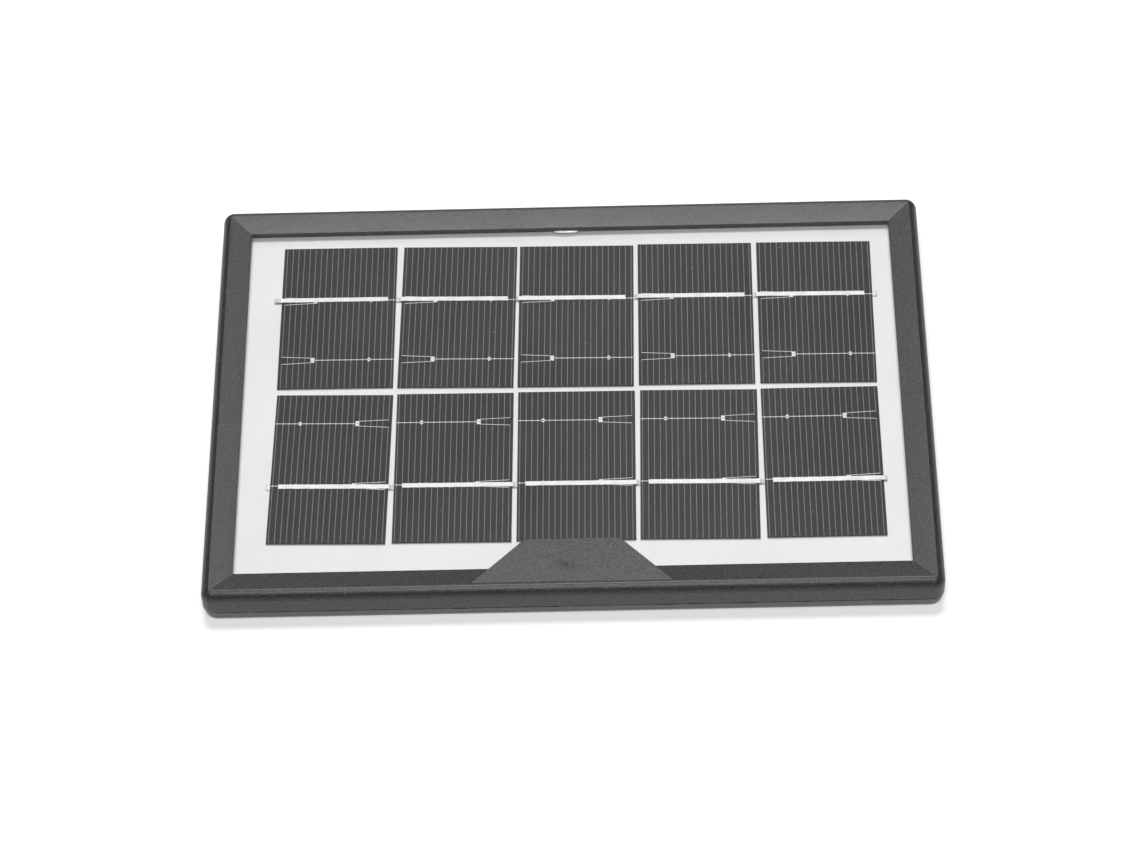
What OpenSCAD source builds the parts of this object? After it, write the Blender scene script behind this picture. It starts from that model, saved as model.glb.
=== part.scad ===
// Small framed solar panel. Ten cut cells in two strings are laminated on a white board
// and held in a glued two-piece plastic case.
// Origin: centre of the flat back. +X along the long side, +Y away from the blank tab,
// +Z out of the sunny side. Millimetres.

/* [Case] */
// Margin from the cell field to the window's edge at the two ends, along X
end_margin = 6.5; // [5:0.1:30]
// Margin from the cell field to the window's edge at the two sides, along Y
side_margin = 6.5; // [5:0.1:30]
// Depth of the hollow between the cover's back and the board
hollow_depth = 3.5; // [3:0.1:12]
// Radius of the case's four corners, seen from the front
corner_radius = 2.6; // [2.2:0.1:3.4]
// Radius of the rounded shoulder between ridge and side wall
shoulder_radius = 2.6; // [2.1:0.1:2.6]
// Distance from the side wall to the crisp ridge
ridge_inset = 1.95; // [1.6:0.05:2]
// Thickness of the front frame's side wall
wall_thickness = 2; // [1.4:0.1:2.6]

/* [Bevel and window] */
// Width of the sloping bevel inside the ridge
bevel_width = 5.2; // [4:0.1:6]
// Height that the bevel falls from ridge to window
bevel_drop = 1.05; // [0.5:0.05:1.2]
// Thickness of the lip at the window's edge
lip_thickness = 1.2; // [0.8:0.1:1.8]

/* [Blank tab] */
// Half of the tab's flat inner edge
tab_inner_half = 11; // [8:0.5:30]
// Half of the tab's base at the ridge
tab_base_half = 23.5; // [18:0.1:50]
// Reach of the tab from the window's edge
tab_reach = 7.5; // [3:0.1:12]
// Depth of the tab's flat face below the ridge
tab_recess = 0.15; // [0.1:0.05:0.4]
// Radius of the tab's two inner corners
tab_corner_radius = 3; // [1:0.5:5]

/* [Rear cover] */
// Height of the seam between the two shells
seam_height = 3.5; // [3:0.1:4.2]
// Thickness of the glue line in the seam
seam_glue = 0.1; // [0.05:0.05:0.3]
// Step from the frame's wall in to the cover's wall
cover_inset = 0.3; // [0.1:0.05:0.6]
// Radius of the cover's corners, seen from the back
cover_corner_radius = 3; // [2.5:0.1:4.5]
// Radius of the cover's rounded lower edge
cover_edge_radius = 1.4; // [0.6:0.1:2]
// Thickness of the cover's flat back
cover_thickness = 1.8; // [1.2:0.1:2]
// Thickness of the tongue that centres the cover in the frame
tongue_thickness = 1.3; // [0.8:0.1:2]
// Gap between the tongue's top and the frame's inner step
tongue_gap = 0.3; // [0.1:0.1:0.8]
// Clearance between tongue and frame wall
tongue_clearance = 0.15; // [0.1:0.05:0.4]
// Thickness of the ribs that press the board forward
rib_thickness = 1.2; // [0.8:0.1:2]
// Distance between ribs
rib_pitch = 22; // [16:1:30]
// Distance from the cell field's edge in to the ribs' ends
rib_setback = 4.5; // [2:0.5:12]

/* [Laminate] */
// Distance that the board reaches under the lip
board_overlap = 3.2; // [2:0.1:3.4]
// Clearance between board and frame
board_clearance = 0.3; // [0.1:0.05:0.5]
// Thickness of the white board
board_thickness = 1.2; // [0.8:0.1:1.6]
// Thickness of the clear film under the cells
rear_film = 0.5; // [0.4:0.05:0.6]
// Thickness of the clear film above the cells
front_film = 0.32; // [0.25:0.01:0.5]
// Thickness of the clear cover sheet
sheet_thickness = 0.25; // [0.2:0.05:0.5]
// Thickness of the adhesive between sheet and lip
lip_adhesive = 0.15; // [0.1:0.05:0.3]
// Width of the lip that stays free of adhesive at the window's edge
adhesive_setback = 0.5; // [0.2:0.1:1.2]

/* [Cells] */
// Width of a cell along X
cell_width = 27.7; // [24:0.1:28.4]
// Height of a cell along Y
cell_height = 43.2; // [36:0.1:44.5]
// Thickness of a cell
cell_thickness = 0.2; // [0.16:0.02:0.3]
// Gap between cells of one string
cell_gap = 1.14; // [0.9:0.01:2]
// Gap between the two strings
string_gap = 1.8; // [1:0.1:3]
// Shift of the cell field along X from the window's centre
field_shift_x = 1.3; // [-2:0.1:2]
// Shift of the cell field along Y from the window's centre
field_shift_y = 2.4; // [-2.5:0.1:2.5]
// Turn of the cell field in the window, in degrees
field_turn = -0.45; // [-0.6:0.05:0.6]
// Share of the small errors of laying the cells by hand
laying_scatter = 1; // [0:0.1:1]
// Clearance between a cell and its pocket in the film
pocket_clearance = 0.04; // [0.02:0.01:0.1]

/* [Printed grid] */
// Distance between the fingers
finger_pitch = 1.39; // [1.2:0.01:1.39]
// Distance from the cell's edge to the first finger
finger_margin = 0.75; // [0.4:0.05:1]
// Width of a finger
finger_width = 0.12; // [0.08:0.01:0.2]
// Height of the print above the cell
print_height = 0.03; // [0.02:0.01:0.05]
// Distance from the cell's edge to the busbar under the ribbon
ribbon_busbar_at = 16.4; // [12:0.1:20]
// Distance from the cell's edge to the bare busbar
bare_busbar_at = 34.7; // [30:0.1:38]
// Width of a busbar line
busbar_width = 0.16; // [0.1:0.02:0.4]
// Distance from the cell's side to the fork pad
fork_pad_at = 8.2; // [5:0.1:12]
// Distance from the cell's side to the end pad
end_pad_at = 21.7; // [16:0.1:24]
// Length of a solder pad along X
pad_length = 0.9; // [0.6:0.1:1.4]
// Height of a solder pad along Y
pad_height = 1.5; // [1:0.1:2]
// Spread of the fork's two arms at the cell's side
fork_spread = 2.3; // [1.6:0.1:3]

/* [Ribbons] */
// Width of a solder ribbon
ribbon_width = 1.2; // [1:0.1:1.8]
// Thickness of a solder ribbon
ribbon_thickness = 0.12; // [0.08:0.02:0.16]
// Length of the ribbon on a cell's front
ribbon_front_length = 25.9; // [18:0.1:27]
// Length of the ribbon under the next cell
ribbon_back_length = 20; // [10:0.5:26]
// Length of the ribbon that shows past the front end of string a
front_tail_a = 1.7; // [0.6:0.1:2.4]
// Length of the ribbon that shows past the back end of string a
back_tail_a = 1; // [0.6:0.1:2.4]
// Length of the ribbon that shows past the front end of string b
front_tail_b = 0.7; // [0.6:0.1:2.4]
// Length of the ribbon that shows past the back end of string b
back_tail_b = 0.8; // [0.6:0.1:2.4]
// Clearance round a ribbon in the films and the board
ribbon_clearance = 0.05; // [0.02:0.01:0.2]

/* [Wiring] */
// Width of the copper strips on the board's back
strip_width = 2.5; // [2:0.1:4]
// Thickness of the copper strips
strip_thickness = 0.2; // [0.1:0.05:0.3]
// Distance from the cell field's side to the negative strip
negative_strip_at = 2.5; // [1.5:0.1:4]
// Gap between the negative and the positive strip
strip_gap = 1.2; // [0.8:0.1:2]
// Length of the diode's body
diode_length = 4.6; // [3:0.1:6]
// Width of the diode's body
diode_width = 2.7; // [2:0.1:3.5]
// Height of the diode's body
diode_height = 2.1; // [1:0.1:2.6]
// Gap between the two strips under the diode
diode_gap = 2; // [1.5:0.1:2.5]
// Place of the diode along X
diode_x = -30; // [-50:1:-15]

/* [Cable inlet] */
// Diameter of the hole for the cable
cable_bore = 3.5; // [2.5:0.1:3.6]
// Thickness of the grommet's rubber round the cable
grommet_wall = 0.55; // [0.4:0.05:0.7]
// Height of the grommet's collar over its neck
collar_step = 0.5; // [0.3:0.05:0.55]
// Clearance between the grommet's collar and the board's edge
collar_clearance = 0.25; // [0.1:0.05:0.6]
// Clearance round the grommet
grommet_clearance = 0.05; // [0.02:0.01:0.1]
// Place of the cable inlet along X
inlet_x = 0; // [-40:1:60]

/* [Mounting insert] */
// Diameter of the tapped hole
tapped_diameter = 5.1; // [4:0.1:5.5]
// Thickness of the plastic between the insert and the board
boss_roof = 0.5; // [0.3:0.1:1.5]
// Outer diameter of the brass insert
insert_diameter = 8; // [7:0.1:10]
// Thickness of the insert's closed end
insert_end = 0.4; // [0.2:0.1:0.5]
// Clearance round the insert
insert_clearance = 0.05; // [0.02:0.01:0.1]
// Thickness of the plastic boss round the insert
boss_wall = 2; // [1.2:0.1:4]

/* [Hidden] */
$fn = 64;

// Extra length that a cut takes past a face
cut = 1;

// The cell field: string a is the one at +Y, column 1 is the one at -X
ROWS = ["a", "b"];
last_column = 5;
COLUMNS = [1:last_column];
RIBBONS = [1:last_column + 1];
middle_column = (1 + last_column) / 2;
cell_pitch = cell_width + cell_gap;
string_pitch = cell_height + string_gap;
field_length = last_column * cell_width + (last_column - 1) * cell_gap;
field_width = 2 * cell_height + string_gap;
// Small errors of laying by hand: sideways, lengthways and turn in degrees, per cell
SIDEWAYS = [[0, 0.2, -0.1, -0.1, 0], [-0.1, 0, 0, 0, 0.1]];
LENGTHWAYS = [[0.2, 0, -0.2, 0, 0], [-0.1, -0.1, 0, 0, 0.2]];
TURNS = [[0.1, -0.7, -0.3, -0.1, -0.2], [-0.8, -0.1, 0, -0.4, 0.5]];

// Plan sizes, from the cell field out
window_length = field_length + 2 * end_margin;
window_width = field_width + 2 * side_margin;
ridge_length = window_length + 2 * bevel_width;
ridge_width = window_width + 2 * bevel_width;
case_length = ridge_length + 2 * ridge_inset;
case_width = ridge_width + 2 * ridge_inset;
board_length = window_length + 2 * board_overlap;
board_width = window_width + 2 * board_overlap;
hollow_length = case_length - 2 * wall_thickness;
hollow_width = case_width - 2 * wall_thickness;
tongue_length = hollow_length - 2 * tongue_clearance;
tongue_width = hollow_width - 2 * tongue_clearance;
cover_length = case_length - 2 * cover_inset;
cover_width = case_width - 2 * cover_inset;

// Heights, from the back face to the sunny side
board_z = cover_thickness + hollow_depth;
strip_z = board_z - strip_thickness;
board_top_z = board_z + board_thickness;
cell_top_z = board_top_z + rear_film;
cell_z = cell_top_z - cell_thickness;
back_ribbon_z = cell_z - ribbon_thickness;
print_top_z = cell_top_z + print_height;
sheet_z = print_top_z + front_film;
sheet_top_z = sheet_z + sheet_thickness;
lip_z = sheet_top_z + lip_adhesive;
window_z = lip_z + lip_thickness;
case_thickness = window_z + bevel_drop;
tongue_z = board_z - tongue_gap;
tab_z = case_thickness - tab_recess;
frame_seam_z = seam_height + seam_glue;
shoulder_drop = sqrt(pow(shoulder_radius, 2) - pow(shoulder_radius - ridge_inset, 2));
shoulder_z = case_thickness - shoulder_drop;

// The cable inlet lies midway between the cover's back and the lip
inlet_z = (cover_thickness + lip_z) / 2;
grommet_radius = cable_bore / 2 + grommet_wall;
collar_radius = grommet_radius + collar_step;
collar_thickness = (case_width - board_width) / 2 - wall_thickness - collar_clearance;
grommet_length = wall_thickness + collar_thickness;
insert_length = board_z - boss_roof;
tapped_depth = insert_length - insert_end;
boss_radius = insert_diameter / 2 + boss_wall;

// Wiring on the board's back
tail_slot = 2 * ribbon_clearance + ribbon_thickness;
negative_strip_y = field_width / 2 + negative_strip_at;
positive_strip_y = negative_strip_y + strip_width + strip_gap;
negative_strip_end = inlet_x - strip_width;

function row_index(row) = row == "a" ? 0 : 1;
function row_side(row) = row == "a" ? 1 : -1;
function turned(point, angle) = [
    point.x * cos(angle) - point.y * sin(angle),
    point.x * sin(angle) + point.y * cos(angle)
];

// Angle of a cell's own +X; string b is laid the other way round
function cell_angle(row, column) =
    field_turn + laying_scatter * TURNS[row_index(row)][column - 1] + (row == "a" ? 0 : 180);

function cell_centre(row, column) =
    [field_shift_x, field_shift_y] + turned([
        (column - middle_column) * cell_pitch + laying_scatter * SIDEWAYS[row_index(row)][column - 1],
        row_side(row) * string_pitch / 2 + laying_scatter * LENGTHWAYS[row_index(row)][column - 1]
    ], field_turn);

// A point given in a cell's own axes, in the case's axes
function on_cell(row, column, point) =
    cell_centre(row, column) + turned(point, cell_angle(row, column));

// Where the ribbon runs, measured from the cell's middle
ribbon_y = cell_height / 2 - ribbon_busbar_at;
function front_tail(row) = row == "a" ? front_tail_a : front_tail_b;
function back_tail(row) = row == "a" ? back_tail_a : back_tail_b;
// Middle of the leg of a front tail and of a back tail, in a cell's own axes
function front_leg(row) = [ribbon_thickness / 2 - cell_width / 2 - front_tail(row), ribbon_y];
function back_leg(row) = [cell_width / 2 + back_tail(row) - ribbon_thickness / 2, ribbon_y];
// Cells at the ends of the strings, in the order a left, a right, b left, b right
TAILS = [
    on_cell("a", 1, front_leg("a")), on_cell("a", last_column, back_leg("a")),
    on_cell("b", 1, back_leg("b")), on_cell("b", last_column, front_leg("b"))
];
positive_strip_x = min(TAILS[0].x, TAILS[2].x) - strip_width - strip_gap;

module at_cell(row, column) {
    centre = cell_centre(row, column);
    translate([centre.x, centre.y, 0]) rotate(cell_angle(row, column)) children();
}

// A flat slab centred on the Z axis
module slab(length, width, low, high) {
    translate([-length / 2, -width / 2, low]) cube([length, width, high - low]);
}

// Sweeps a section round a rectangle with round corners. The section's x is measured
// outward from the corner's axis and its y is the height.
module rim(length, width, corner) {
    straight_x = length / 2 - corner;
    straight_y = width / 2 - corner;
    for (half = [0, 180]) rotate(half) {
        translate([straight_x, 0, 0])
            rotate([90, 0, 0]) linear_extrude(2 * straight_y, center = true) children();
        translate([0, straight_y, 0])
            rotate([90, 0, 90]) linear_extrude(2 * straight_x, center = true) children();
        translate([straight_x, straight_y, 0]) rotate_extrude(angle = 90) children();
        translate([-straight_x, straight_y, 0]) rotate(90) rotate_extrude(angle = 90) children();
    }
}

// Section of the frame's rim: upright wall with a rounded shoulder
module frame_section() {
    translate([0, frame_seam_z]) square([corner_radius, shoulder_z - frame_seam_z]);
    intersection() {
        translate([corner_radius - shoulder_radius, shoulder_z]) circle(shoulder_radius);
        translate([0, shoulder_z]) square([corner_radius, shoulder_radius]);
    }
}

// Section of the cover's rim: upright wall with a rounded lower edge
module cover_section() {
    translate([0, cover_edge_radius])
        square([cover_corner_radius, seam_height - cover_edge_radius]);
    square([cover_corner_radius - cover_edge_radius, cover_edge_radius]);
    intersection() {
        translate([cover_corner_radius - cover_edge_radius, cover_edge_radius])
            circle(cover_edge_radius);
        translate([cover_corner_radius - cover_edge_radius, 0])
            square([cover_edge_radius, cover_edge_radius]);
    }
}

// One side view of the space above the bevel
module funnel_section(span) {
    rise = bevel_drop + cut;
    run = rise * bevel_width / bevel_drop;
    polygon([
        [-span / 2, window_z], [span / 2, window_z],
        [span / 2 + run, window_z + rise], [-span / 2 - run, window_z + rise]
    ]);
}

// The space above the bevel, with mitred corners
module bevel_funnel() {
    intersection() {
        rotate([90, 0, 0])
            linear_extrude(2 * case_width, center = true) funnel_section(window_length);
        rotate([90, 0, 90])
            linear_extrude(2 * case_length, center = true) funnel_section(window_width);
    }
}

// Outline of the blank tab, with its two inner corners rounded
module tab_outline() {
    base_y = -ridge_width / 2;
    inner_y = tab_reach - window_width / 2;
    slope = atan2(inner_y - base_y, tab_base_half - tab_inner_half);
    // The rounding starts this far from the corner
    setback = tab_corner_radius * tan(slope / 2);
    arc_x = tab_inner_half - setback;
    arc_y = inner_y - tab_corner_radius;
    arc = [
        for (step = [0:6])
            [arc_x + tab_corner_radius * sin(slope * step / 6),
             arc_y + tab_corner_radius * cos(slope * step / 6)]
    ];
    // The base stops inside the ridge, where the bevel is higher than the tab
    root_y = base_y + tab_recess;
    root_half = tab_base_half - tab_recess / tan(slope);
    polygon(concat(
        [for (step = [6:-1:0]) [-arc[step].x, arc[step].y]],
        arc,
        [[root_half, root_y], [-root_half, root_y]]
    ));
}

// Room for the grommet: its neck through the wall and its collar behind the wall
module grommet_room() {
    translate([inlet_x, case_width / 2, inlet_z]) rotate([90, 0, 0]) {
        translate([0, 0, -cut]) cylinder(r = grommet_radius + grommet_clearance, h = cut + grommet_length);
        translate([0, 0, wall_thickness])
            cylinder(r = collar_radius + 2 * grommet_clearance, h = collar_thickness + cut);
    }
}

module front_frame() {
    color([0.1, 0.1, 0.1]) difference() {
        union() {
            difference() {
                union() {
                    rim(case_length, case_width, corner_radius) frame_section();
                    slab(case_length - 2 * corner_radius, case_width - 2 * corner_radius,
                        frame_seam_z, shoulder_z + shoulder_radius);
                }
                bevel_funnel();
                slab(window_length, window_width, 0, case_thickness);
                slab(board_length + 2 * board_clearance, board_width + 2 * board_clearance, 0, lip_z);
                slab(hollow_length, hollow_width, 0, board_z);
            }
            translate([0, 0, lip_z]) linear_extrude(tab_z - lip_z) tab_outline();
        }
        grommet_room();
    }
}

// Ribs in two directions that press the board against the lip
module ribs() {
    reach_x = field_length / 2 - rib_setback;
    reach_y = field_width / 2 - rib_setback;
    count_x = floor(reach_x / rib_pitch);
    count_y = floor(reach_y / rib_pitch);
    for (place = [-count_x:count_x])
        translate([place * rib_pitch, 0, 0])
            slab(rib_thickness, 2 * reach_y, cover_thickness, board_z);
    for (place = [-count_y:count_y])
        translate([0, place * rib_pitch, 0])
            slab(2 * reach_x, rib_thickness, cover_thickness, board_z);
}

module rear_cover() {
    color([0.13, 0.13, 0.13]) difference() {
        union() {
            rim(cover_length, cover_width, cover_corner_radius) cover_section();
            slab(cover_length - 2 * cover_corner_radius, cover_width - 2 * cover_corner_radius,
                0, cover_thickness);
            difference() {
                slab(tongue_length, tongue_width, cover_thickness, tongue_z);
                slab(tongue_length - 2 * tongue_thickness, tongue_width - 2 * tongue_thickness,
                    0, case_thickness);
            }
            ribs();
            cylinder(r = boss_radius, h = board_z);
        }
        grommet_room();
        translate([0, 0, -cut])
            cylinder(r = insert_diameter / 2 + insert_clearance, h = cut + insert_length);
    }
}

// Glue line between the two shells
module seam_adhesive() {
    color([0.05, 0.05, 0.05]) difference() {
        slab(cover_length, cover_width, seam_height, frame_seam_z);
        slab(hollow_length, hollow_width, 0, case_thickness);
        grommet_room();
        for (side_x = [-1, 1], side_y = [-1, 1])
            translate([side_x * case_length / 2, side_y * case_width / 2, 0])
                rotate(45) slab(2 * corner_radius, 2 * corner_radius, 0, case_thickness);
    }
}

// Ring of adhesive between the lip and the cover sheet
module laminate_adhesive() {
    color([0.85, 0.85, 0.85]) difference() {
        slab(board_length, board_width, sheet_top_z, lip_z);
        slab(window_length + 2 * adhesive_setback, window_width + 2 * adhesive_setback,
            0, case_thickness);
    }
}

module cover_sheet() {
    color([0.9, 0.95, 1, 0.3]) slab(board_length, board_width, sheet_z, sheet_top_z);
}

// Room for the ribbons on the cells' fronts
module front_ribbon_room() {
    for (row = ROWS, column = COLUMNS) at_cell(row, column)
        translate([-cell_width / 2 - cell_gap, ribbon_y - ribbon_width / 2 - ribbon_clearance, 0])
            cube([
                cell_gap + ribbon_front_length + ribbon_clearance,
                ribbon_width + 2 * ribbon_clearance,
                print_top_z + ribbon_thickness
            ]);
    for (end = [["a", 1], ["b", last_column]]) at_cell(end[0], end[1])
        translate([
            -cell_width / 2 - front_tail(end[0]) - ribbon_clearance,
            ribbon_y - ribbon_width / 2 - ribbon_clearance,
            0
        ])
            cube([
                front_tail(end[0]),
                ribbon_width + 2 * ribbon_clearance,
                print_top_z + ribbon_thickness
            ]);
}

// Room for the ribbons under the cells and in the gaps
module back_ribbon_room() {
    room_y = ribbon_y - ribbon_width / 2 - ribbon_clearance;
    room_width = ribbon_width + 2 * ribbon_clearance;
    room_height = case_thickness - back_ribbon_z;
    for (row = ROWS, column = [2:last_column]) at_cell(row, row == "a" ? column : column - 1)
        translate([-cell_width / 2 - cell_gap - ribbon_back_length - ribbon_clearance, room_y, back_ribbon_z])
            cube([cell_gap + ribbon_back_length + ribbon_clearance, room_width, room_height]);
    for (end = [["a", last_column], ["b", 1]]) at_cell(end[0], end[1])
        translate([cell_width / 2 - ribbon_back_length - ribbon_clearance, room_y, back_ribbon_z])
            cube([
                ribbon_back_length + back_tail(end[0]) + 2 * ribbon_clearance,
                room_width,
                room_height
            ]);
}

// Slots for the four tails through the rear film and the board
module tail_slots() {
    for (end = [
        ["a", 1, front_leg("a")], ["b", last_column, front_leg("b")],
        ["a", last_column, back_leg("a")], ["b", 1, back_leg("b")]
    ])
        at_cell(end[0], end[1]) translate([end[2].x, end[2].y, 0])
            slab(tail_slot, ribbon_width + 2 * ribbon_clearance, 0, case_thickness);
}

module front_encapsulant() {
    color([0.95, 0.97, 1, 0.25]) difference() {
        slab(board_length, board_width, print_top_z, sheet_z);
        front_ribbon_room();
    }
}

module rear_encapsulant() {
    color([0.95, 0.97, 1, 0.25]) difference() {
        slab(board_length, board_width, board_top_z, cell_top_z);
        for (row = ROWS, column = COLUMNS) at_cell(row, column)
            slab(cell_width + 2 * pocket_clearance, cell_height + 2 * pocket_clearance,
                cell_z, case_thickness);
        back_ribbon_room();
        tail_slots();
    }
}

module backing_board() {
    color([0.93, 0.93, 0.93]) difference() {
        slab(board_length, board_width, board_z, board_top_z);
        tail_slots();
    }
}

module cell(row, column) {
    color([0.2, 0.2, 0.22]) at_cell(row, column)
        slab(cell_width, cell_height, cell_z, cell_top_z);
}

// A printed bar between two points that lie on one line along X or Y
module print_bar(from_x, to_x, from_y, to_y) {
    translate([from_x, from_y, cell_top_z]) cube([to_x - from_x, to_y - from_y, print_height]);
}

// Two arms that run from a pad to the first finger
module fork(bar_y) {
    first_finger = finger_margin - cell_width / 2;
    pad_x = fork_pad_at + pad_length / 2 - cell_width / 2;
    for (side = [-1, 1]) translate([0, 0, cell_top_z]) linear_extrude(print_height)
        polygon([
            [first_finger, bar_y + side * (fork_spread - busbar_width) / 2],
            [first_finger, bar_y + side * (fork_spread + busbar_width) / 2],
            [pad_x, bar_y + side * (pad_height / 2)],
            [pad_x, bar_y + side * (pad_height / 2 - busbar_width)]
        ]);
}

// Printed silver lines and solder pads on a cell's front
module cell_grid(row, column) {
    half_width = cell_width / 2;
    half_height = cell_height / 2;
    bare_y = half_height - bare_busbar_at;
    last_finger = cell_width - finger_margin;
    edge = finger_width;
    color([0.55, 0.55, 0.55]) at_cell(row, column) {
        for (finger_x = [finger_margin:finger_pitch:last_finger + finger_pitch / 4])
            print_bar(finger_x - finger_width / 2 - half_width, finger_x + finger_width / 2 - half_width,
                edge - half_height, half_height - edge);
        for (bar_y = [ribbon_y, bare_y]) {
            print_bar(fork_pad_at - half_width, half_width - edge,
                bar_y - busbar_width / 2, bar_y + busbar_width / 2);
            print_bar(fork_pad_at - half_width, fork_pad_at + pad_length - half_width,
                bar_y - pad_height / 2, bar_y + pad_height / 2);
            fork(bar_y);
        }
        print_bar(end_pad_at - half_width, end_pad_at + pad_length - half_width,
            bare_y - pad_height / 2, bare_y + pad_height / 2);
    }
}

// A ribbon seen from the side, drawn as a flat bar
module ribbon_bar(points) {
    translate([0, ribbon_y + ribbon_width / 2, 0])
        rotate([90, 0, 0]) linear_extrude(ribbon_width) polygon(points);
}

// Ribbon from a cell's front, down through the gap, to the back of the cell before it
module ribbon_between() {
    left = -cell_width / 2;
    // Distances that the bend keeps from its own cell and from the cell before it
    bend = cell_gap / 5;
    foot = 2 * bend;
    low = back_ribbon_z;
    high = print_top_z;
    back_end = left - cell_gap - ribbon_back_length;
    ribbon_bar([
        [left + ribbon_front_length, high], [left - bend, high],
        [left - cell_gap + foot, low], [back_end, low],
        [back_end, low + ribbon_thickness], [left - cell_gap + foot, low + ribbon_thickness],
        [left - bend, high + ribbon_thickness],
        [left + ribbon_front_length, high + ribbon_thickness]
    ]);
}

// Ribbon on the first cell's front, with a tail that turns down through the board
module ribbon_front_tail(row) {
    left = -cell_width / 2;
    tail = left - front_tail(row);
    ribbon_bar([
        [left + ribbon_front_length, print_top_z], [tail + ribbon_thickness, print_top_z],
        [tail + ribbon_thickness, board_z], [tail, board_z],
        [tail, print_top_z + ribbon_thickness],
        [left + ribbon_front_length, print_top_z + ribbon_thickness]
    ]);
}

// Ribbon under the last cell, with a tail that turns down through the board
module ribbon_back_tail(row) {
    right = cell_width / 2;
    tail = right + back_tail(row);
    ribbon_bar([
        [right - ribbon_back_length, back_ribbon_z],
        [tail - ribbon_thickness, back_ribbon_z], [tail - ribbon_thickness, board_z],
        [tail, board_z], [tail, cell_z], [right - ribbon_back_length, cell_z]
    ]);
}

// In both strings ribbon 1 is the one at -X and the last ribbon is the one at +X
module tab_ribbon(row, number) {
    last = last_column + 1;
    color([0.85, 0.85, 0.85])
        if (row == "a" && number == last) at_cell("a", last_column) ribbon_back_tail(row);
        else if (row == "a" && number == 1) at_cell("a", 1) ribbon_front_tail(row);
        else if (row == "a") at_cell("a", number) ribbon_between();
        else if (number == 1) at_cell("b", 1) ribbon_back_tail(row);
        else if (number == last) at_cell("b", last_column) ribbon_front_tail(row);
        else at_cell("b", number - 1) ribbon_between();
}

// A straight copper strip on the board's back, past both of its end points by half its width
module strip(from, to) {
    reach = to - from;
    translate([from.x, from.y, strip_z]) rotate(atan2(reach.y, reach.x))
        translate([-strip_width / 2, -strip_width / 2, 0])
            cube([norm(reach) + strip_width, strip_width, strip_thickness]);
}

module string_link() {
    color([0.8, 0.78, 0.75]) strip(TAILS[1], TAILS[3]);
}

module output_strip_negative() {
    corner = [TAILS[0].x, negative_strip_y];
    color([0.8, 0.78, 0.75]) union() {
        strip(TAILS[0], corner);
        strip(corner, [negative_strip_end, negative_strip_y]);
    }
}

module output_strip_positive() {
    low = [positive_strip_x, TAILS[2].y];
    high = [positive_strip_x, positive_strip_y];
    color([0.8, 0.78, 0.75]) union() {
        strip(TAILS[2], low);
        strip(low, high);
        strip(high, [diode_x - (diode_gap + strip_width) / 2, positive_strip_y]);
    }
}

module cable_strip_positive() {
    color([0.8, 0.78, 0.75]) strip(
        [diode_x + (diode_gap + strip_width) / 2, positive_strip_y],
        [inlet_x + strip_width, positive_strip_y]);
}

module blocking_diode() {
    color([0.08, 0.08, 0.08]) translate([diode_x, positive_strip_y, 0])
        slab(diode_length, diode_width, strip_z - diode_height, strip_z);
}

module cable_grommet() {
    color([0.07, 0.07, 0.07]) translate([inlet_x, case_width / 2, inlet_z]) rotate([90, 0, 0])
        difference() {
            union() {
                cylinder(r = grommet_radius, h = grommet_length);
                translate([0, 0, wall_thickness]) cylinder(r = collar_radius, h = collar_thickness);
            }
            translate([0, 0, -cut]) cylinder(d = cable_bore, h = grommet_length + 2 * cut);
        }
}

module mounting_insert() {
    color([0.75, 0.6, 0.3]) difference() {
        cylinder(d = insert_diameter, h = insert_length);
        translate([0, 0, -cut]) cylinder(d = tapped_diameter, h = cut + tapped_depth);
    }
}

front_frame();
rear_cover();
seam_adhesive();
laminate_adhesive();
cover_sheet();
front_encapsulant();
rear_encapsulant();
backing_board();
for (row = ROWS, column = COLUMNS) {
    cell(row, column);
    cell_grid(row, column);
}
for (row = ROWS, number = RIBBONS)
    tab_ribbon(row, number);
string_link();
output_strip_negative();
output_strip_positive();
cable_strip_positive();
blocking_diode();
cable_grommet();
mounting_insert();
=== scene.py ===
import math

import bmesh
import bpy
from mathutils import Matrix, Vector, noise


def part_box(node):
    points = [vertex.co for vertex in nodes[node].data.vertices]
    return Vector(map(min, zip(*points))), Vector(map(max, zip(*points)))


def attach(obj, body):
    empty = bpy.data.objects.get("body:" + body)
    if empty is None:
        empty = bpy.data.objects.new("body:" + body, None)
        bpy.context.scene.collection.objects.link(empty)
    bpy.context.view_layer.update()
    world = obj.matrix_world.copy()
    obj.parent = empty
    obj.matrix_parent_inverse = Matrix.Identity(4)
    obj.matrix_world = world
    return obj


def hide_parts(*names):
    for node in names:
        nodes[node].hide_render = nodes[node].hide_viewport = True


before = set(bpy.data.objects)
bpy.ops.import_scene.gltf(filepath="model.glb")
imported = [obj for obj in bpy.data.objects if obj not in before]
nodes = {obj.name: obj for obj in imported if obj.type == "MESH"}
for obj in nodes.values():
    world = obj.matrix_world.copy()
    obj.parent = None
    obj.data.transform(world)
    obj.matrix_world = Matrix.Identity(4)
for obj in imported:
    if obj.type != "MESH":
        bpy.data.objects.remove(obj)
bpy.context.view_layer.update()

# Camera. It looks down at the sunny side from beyond the blank tab, a little past half way up,
# with a long lens and a slight roll.
camera_data = bpy.data.cameras.new("camera")
camera_data.sensor_width = 36
camera_data.lens = 119.5
camera_data.clip_start = 0.05
camera_data.clip_end = 100
camera = bpy.data.objects.new("camera", camera_data)
camera.matrix_world = Matrix((
    (0.99964, 0.02046, 0.01708, 0.01494),
    (-0.00614, 0.80032, -0.59954, -0.54494),
    (-0.02593, 0.59922, 0.80016, 0.72203),
    (0, 0, 0, 1),
))
bpy.context.scene.collection.objects.link(camera)
bpy.context.scene.camera = camera
bpy.context.scene.view_settings.view_transform = "Standard"


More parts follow.
